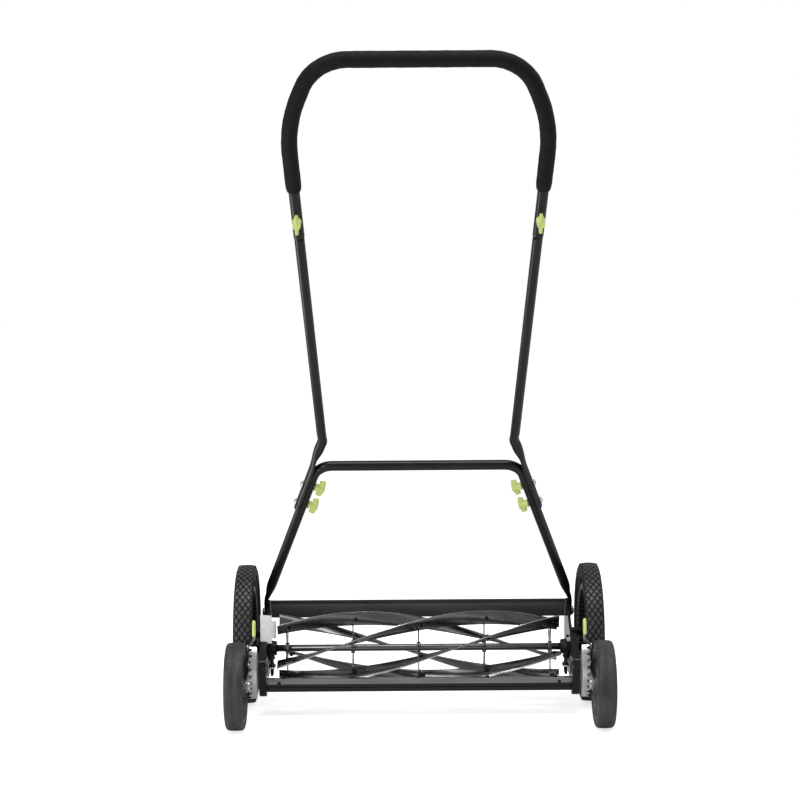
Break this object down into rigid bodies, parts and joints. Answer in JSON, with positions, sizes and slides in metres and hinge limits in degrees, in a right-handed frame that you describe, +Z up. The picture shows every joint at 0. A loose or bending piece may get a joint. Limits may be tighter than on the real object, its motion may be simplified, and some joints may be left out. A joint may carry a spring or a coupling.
{
  "type": "reel mower",
  "caption": "Push reel mower: a bladed reel geared to two large treaded wheels, small height-adjusted rear wheels and a tubular U handle with a foam grip.",
  "frame": {"origin": "on the ground, under the middle of the bounding box", "axes": "+X to the operator's right, +Y forward in the direction of mowing, +Z up"},
  "size_m": [0.67, 0.7642, 1.1186],
  "materials": {
    "painted_steel": "satin black powder coat",
    "channel_steel": "oiled rolled steel",
    "knife_steel": "dark steel with a ground edge",
    "reel_steel": "dark satin steel",
    "blade_steel": "dark steel with a ground edge",
    "foam_grip": "fine-grained foam",
    "zinc": "zinc plate",
    "wheel_plastic": "moulded, fine grain",
    "tyre_rubber": "matt rubber",
    "spring_steel": "dark spring steel",
    "lime_plastic": "moulded lime green"
  },
  "bodies": {
    "chassis": {"front_shield": "painted_steel", "cutter_bar": "channel_steel", "bed_knife": "knife_steel", "side_frame_left": "painted_steel", "bearing_left": "zinc", "wheel_axle_left": "zinc", "height_rack_left": "zinc", "arm_pivot_left": "zinc", "handle_pivot_left": "zinc", "side_frame_right": "painted_steel", "bearing_right": "zinc", "wheel_axle_right": "zinc", "height_rack_right": "zinc", "arm_pivot_right": "zinc", "handle_pivot_right": "zinc"},
    "reel": {"reel_shaft": "reel_steel", "spider_1": "reel_steel", "spider_2": "reel_steel", "spider_3": "reel_steel", "spider_4": "reel_steel", "spider_5": "reel_steel", "blade_1": "blade_steel", "blade_2": "blade_steel", "blade_3": "blade_steel", "blade_4": "blade_steel", "blade_5": "blade_steel", "pinion_left": "reel_steel", "pinion_right": "reel_steel"},
    "handle": {"lower_handle": "painted_steel", "upper_handle": "painted_steel", "grip": "foam_grip", "side_tube_left": "painted_steel", "side_tube_right": "painted_steel", "clamp_bolt_left_1": "zinc", "clamp_bolt_left_2": "zinc", "clamp_bolt_left_3": "zinc", "clamp_bolt_right_1": "zinc", "clamp_bolt_right_2": "zinc", "clamp_bolt_right_3": "zinc"},
    "wheel_left": {"wheel_rim_left": "wheel_plastic", "wheel_tyre_left": "tyre_rubber"},
    "arm_left": {"height_arm_left": "spring_steel", "lever_grip_left": "lime_plastic", "rear_axle_left": "zinc"},
    "rear_wheel_left": {"rear_rim_left": "wheel_plastic", "rear_tyre_left": "tyre_rubber"},
    "knob_left_1": {"wing_knob_left_1": "lime_plastic"},
    "knob_left_2": {"wing_knob_left_2": "lime_plastic"},
    "knob_left_3": {"wing_knob_left_3": "lime_plastic"},
    "wheel_right": {"wheel_rim_right": "wheel_plastic", "wheel_tyre_right": "tyre_rubber"},
    "arm_right": {"height_arm_right": "spring_steel", "lever_grip_right": "lime_plastic", "rear_axle_right": "zinc"},
    "rear_wheel_right": {"rear_rim_right": "wheel_plastic", "rear_tyre_right": "tyre_rubber"},
    "knob_right_1": {"wing_knob_right_1": "lime_plastic"},
    "knob_right_2": {"wing_knob_right_2": "lime_plastic"},
    "knob_right_3": {"wing_knob_right_3": "lime_plastic"}
  },
  "joints": [
    {"name": "reel_spin", "type": "hinge", "parent": "chassis", "child": "reel", "pos_m": [0, 0.19407, 0.11125], "axis": [1, 0, 0], "continuous": true},
    {"name": "handle_swing", "type": "hinge", "parent": "chassis", "child": "handle", "pos_m": [0, 0.26507, 0.165], "axis": [-1, 0, 0], "range_deg": [0, 68]},
    {"name": "wheel_left_spin", "type": "hinge", "parent": "chassis", "child": "wheel_left", "pos_m": [0, 0.25507, 0.127], "axis": [1, 0, 0], "continuous": true},
    {"name": "height_left", "type": "hinge", "parent": "chassis", "child": "arm_left", "pos_m": [0, 0.1191, 0.092], "axis": [1, 0, 0], "range_deg": [0, 45]},
    {"name": "rear_wheel_left_spin", "type": "hinge", "parent": "arm_left", "child": "rear_wheel_left", "pos_m": [0, 0.03206, 0.076], "axis": [1, 0, 0], "continuous": true},
    {"name": "knob_left_1_turn", "type": "hinge", "parent": "handle", "child": "knob_left_1", "pos_m": [-0.19567, 0.11831, 0.38258], "axis": [0.9504, 0.174, -0.258], "continuous": true},
    {"name": "knob_left_2_turn", "type": "hinge", "parent": "handle", "child": "knob_left_2", "pos_m": [-0.18257, 0.09594, 0.41574], "axis": [0.9504, 0.174, -0.258], "continuous": true},
    {"name": "knob_left_3_turn", "type": "hinge", "parent": "handle", "child": "knob_left_3", "pos_m": [-0.19206, -0.22152, 0.87173], "axis": [0, -0.829, -0.5592], "continuous": true},
    {"name": "wheel_right_spin", "type": "hinge", "parent": "chassis", "child": "wheel_right", "pos_m": [0, 0.25507, 0.127], "axis": [1, 0, 0], "continuous": true},
    {"name": "height_right", "type": "hinge", "parent": "chassis", "child": "arm_right", "pos_m": [0, 0.1191, 0.092], "axis": [1, 0, 0], "range_deg": [0, 45]},
    {"name": "rear_wheel_right_spin", "type": "hinge", "parent": "arm_right", "child": "rear_wheel_right", "pos_m": [0, 0.03206, 0.076], "axis": [1, 0, 0], "continuous": true},
    {"name": "knob_right_1_turn", "type": "hinge", "parent": "handle", "child": "knob_right_1", "pos_m": [0.19567, 0.11831, 0.38258], "axis": [-0.9504, 0.174, -0.258], "continuous": true},
    {"name": "knob_right_2_turn", "type": "hinge", "parent": "handle", "child": "knob_right_2", "pos_m": [0.18257, 0.09594, 0.41574], "axis": [-0.9504, 0.174, -0.258], "continuous": true},
    {"name": "knob_right_3_turn", "type": "hinge", "parent": "handle", "child": "knob_right_3", "pos_m": [0.19206, -0.22152, 0.87173], "axis": [0, -0.829, -0.5592], "continuous": true}
  ],
  "couplings": [
    {"joint": "wheel_left_spin", "follows": "reel_spin", "ratio": 0.20755},
    {"joint": "wheel_right_spin", "follows": "reel_spin", "ratio": 0.20755}
  ]
}
